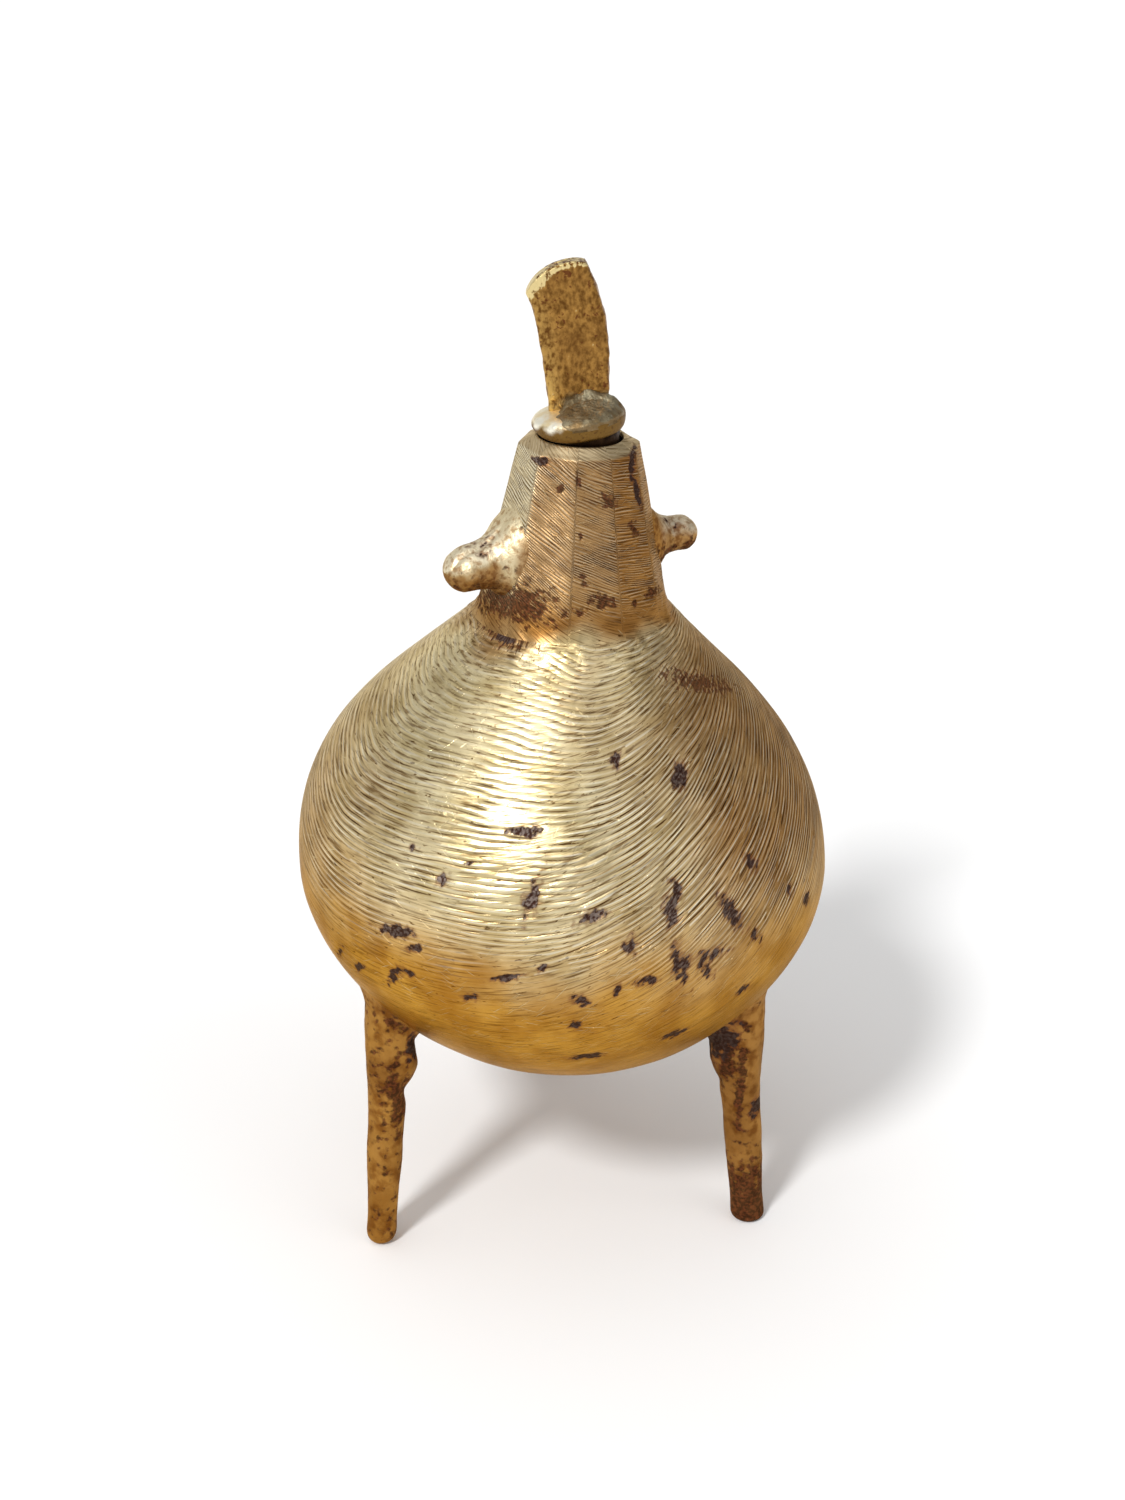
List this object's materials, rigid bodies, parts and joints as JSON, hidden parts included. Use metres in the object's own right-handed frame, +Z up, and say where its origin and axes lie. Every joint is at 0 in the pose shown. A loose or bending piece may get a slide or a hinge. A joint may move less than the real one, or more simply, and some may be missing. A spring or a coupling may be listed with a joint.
{
  "type": "brass urn",
  "caption": "Squat hand-formed urn on stub legs, with a leaning filed neck, two stub lugs and a loose stopper with an upright handle.",
  "frame": {"origin": "on the floor, under the middle of the bowl", "axes": "+Z up, -Y towards the viewer between the two front legs, +X to the viewer's right"},
  "size_m": [0.1068, 0.1068, 0.1982],
  "materials": {
    "filed_brass": "filed by hand",
    "cast_brass": "rough cast skin",
    "bright_brass": "rubbed bright",
    "dark_brass": "tarnished",
    "solder": "dull, pitted"
  },
  "bodies": {
    "vessel": {"bowl": "filed_brass", "neck": "filed_brass", "lug_left": "cast_brass", "lug_right": "cast_brass", "leg_front_left": "cast_brass", "leg_front_right": "cast_brass", "leg_rear": "cast_brass"},
    "stopper": {"stopper_disc": "bright_brass", "stopper_plug": "dark_brass", "stopper_handle": "cast_brass", "stopper_solder": "solder"}
  },
  "joints": [
    {"name": "stopper_lift", "type": "slide", "parent": "vessel", "child": "stopper", "axis": [0.0419, 0, 0.9991], "range_m": [0, 0.04]}
  ]
}
